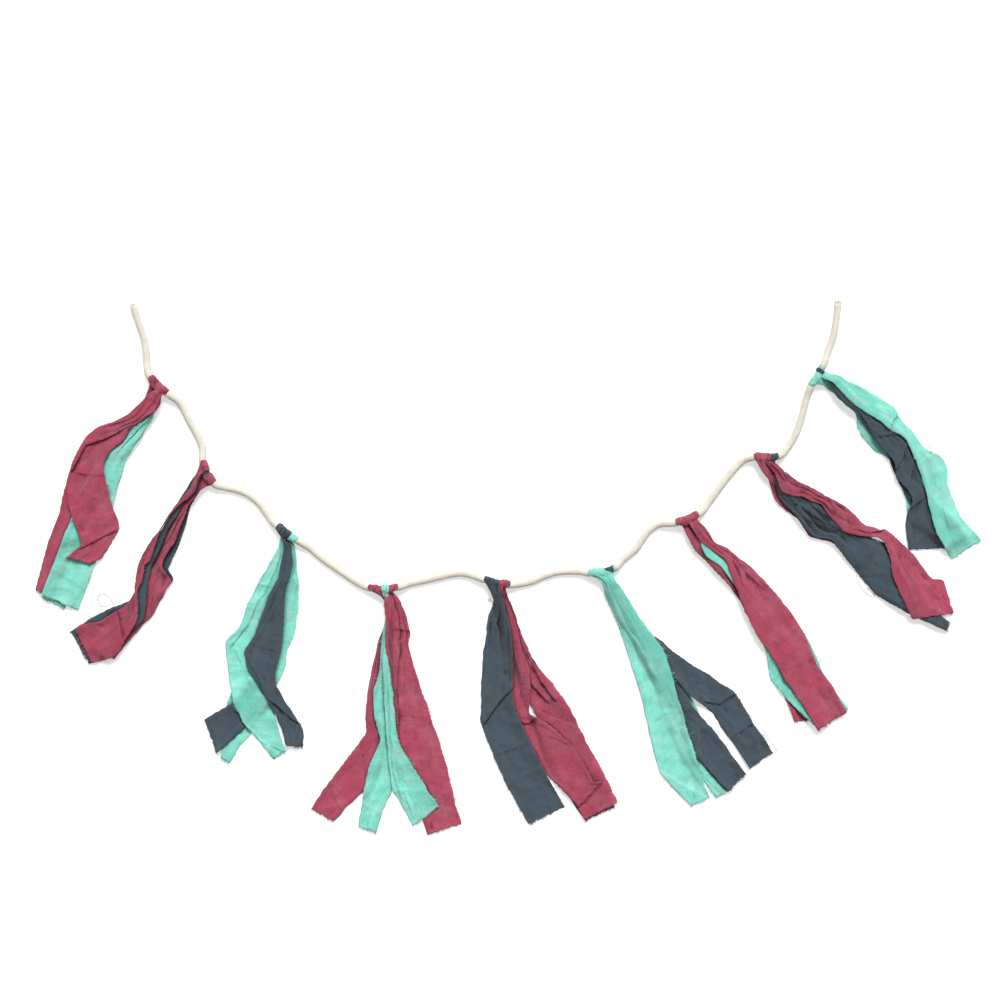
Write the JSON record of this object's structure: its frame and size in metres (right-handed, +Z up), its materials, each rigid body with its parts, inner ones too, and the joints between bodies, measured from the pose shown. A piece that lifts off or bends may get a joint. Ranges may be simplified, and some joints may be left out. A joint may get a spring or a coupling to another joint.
{
  "type": "tassel garland",
  "caption": "Garland of torn cotton strip tassels in raspberry, mint and slate, tied along a cream cotton rope with lark's head knots, lying flat.",
  "frame": {"origin": "under the middle of the garland as it lies flat, at table height", "axes": "+X along the garland from its left tassel to its right one, +Y from the tails' ends towards the rope's ends, +Z up off the table"},
  "size_m": [0.944, 0.5312, 0.0133],
  "materials": {
    "rope_cotton": "smooth twisted cotton rope, cream, matt",
    "crimson_cotton": "thin torn cotton cloth, raspberry red, matt, raw edges",
    "mint_cotton": "thin torn cotton cloth, mint green, matt, raw edges",
    "slate_cotton": "thin torn cotton cloth, slate grey, matt, raw edges"
  },
  "bodies": {
    "rope_body": {"rope": "rope_cotton"},
    "tassel_1": {"tassel_1_mint_strip": "mint_cotton", "tassel_1_crimson_strip": "crimson_cotton"},
    "tassel_2": {"tassel_2_slate_strip": "slate_cotton", "tassel_2_crimson_strip": "crimson_cotton"},
    "tassel_3": {"tassel_3_mint_strip": "mint_cotton", "tassel_3_slate_strip": "slate_cotton"},
    "tassel_4": {"tassel_4_crimson_strip": "crimson_cotton", "tassel_4_mint_strip": "mint_cotton"},
    "tassel_5": {"tassel_5_slate_strip": "slate_cotton", "tassel_5_crimson_strip": "crimson_cotton"},
    "tassel_6": {"tassel_6_slate_strip": "slate_cotton", "tassel_6_mint_strip": "mint_cotton"},
    "tassel_7": {"tassel_7_mint_strip": "mint_cotton", "tassel_7_crimson_strip": "crimson_cotton"},
    "tassel_8": {"tassel_8_slate_strip": "slate_cotton", "tassel_8_crimson_strip": "crimson_cotton"},
    "tassel_9": {"tassel_9_mint_strip": "mint_cotton", "tassel_9_slate_strip": "slate_cotton"}
  },
  "joints": [
    {"name": "tassel_1_swing", "type": "hinge", "parent": "rope_body", "child": "tassel_1", "pos_m": [-0.34939, 0.18315, 0.0068], "axis": [-0.766, 0.6428, 0], "range_deg": [0, 90]},
    {"name": "tassel_2_swing", "type": "hinge", "parent": "rope_body", "child": "tassel_2", "pos_m": [-0.29939, 0.09515, 0.0068], "axis": [-0.4067, 0.9135, 0], "range_deg": [0, 90]},
    {"name": "tassel_3_swing", "type": "hinge", "parent": "rope_body", "child": "tassel_3", "pos_m": [-0.22139, 0.03715, 0.0068], "axis": [-0.766, 0.6428, 0], "range_deg": [0, 60]},
    {"name": "tassel_4_swing", "type": "hinge", "parent": "rope_body", "child": "tassel_4", "pos_m": [-0.12039, -0.01785, 0.0068], "axis": [-0.9986, -0.0523, 0], "range_deg": [0, 90]},
    {"name": "tassel_5_swing", "type": "hinge", "parent": "rope_body", "child": "tassel_5", "pos_m": [-0.01139, -0.01285, 0.0068], "axis": [-0.9744, 0.225, 0], "range_deg": [0, 90]},
    {"name": "tassel_6_swing", "type": "hinge", "parent": "rope_body", "child": "tassel_6", "pos_m": [0.09561, -0.00185, 0.0068], "axis": [-0.9877, -0.1564, 0], "range_deg": [0, 90]},
    {"name": "tassel_7_swing", "type": "hinge", "parent": "rope_body", "child": "tassel_7", "pos_m": [0.17861, 0.05015, 0.0068], "axis": [-0.9272, -0.3746, 0], "range_deg": [0, 90]},
    {"name": "tassel_8_swing", "type": "hinge", "parent": "rope_body", "child": "tassel_8", "pos_m": [0.25661, 0.11315, 0.0068], "axis": [-0.9998, 0.0175, 0], "range_deg": [0, 90]},
    {"name": "tassel_9_swing", "type": "hinge", "parent": "rope_body", "child": "tassel_9", "pos_m": [0.30861, 0.19415, 0.0068], "axis": [-0.5592, -0.829, 0], "range_deg": [0, 90]}
  ]
}
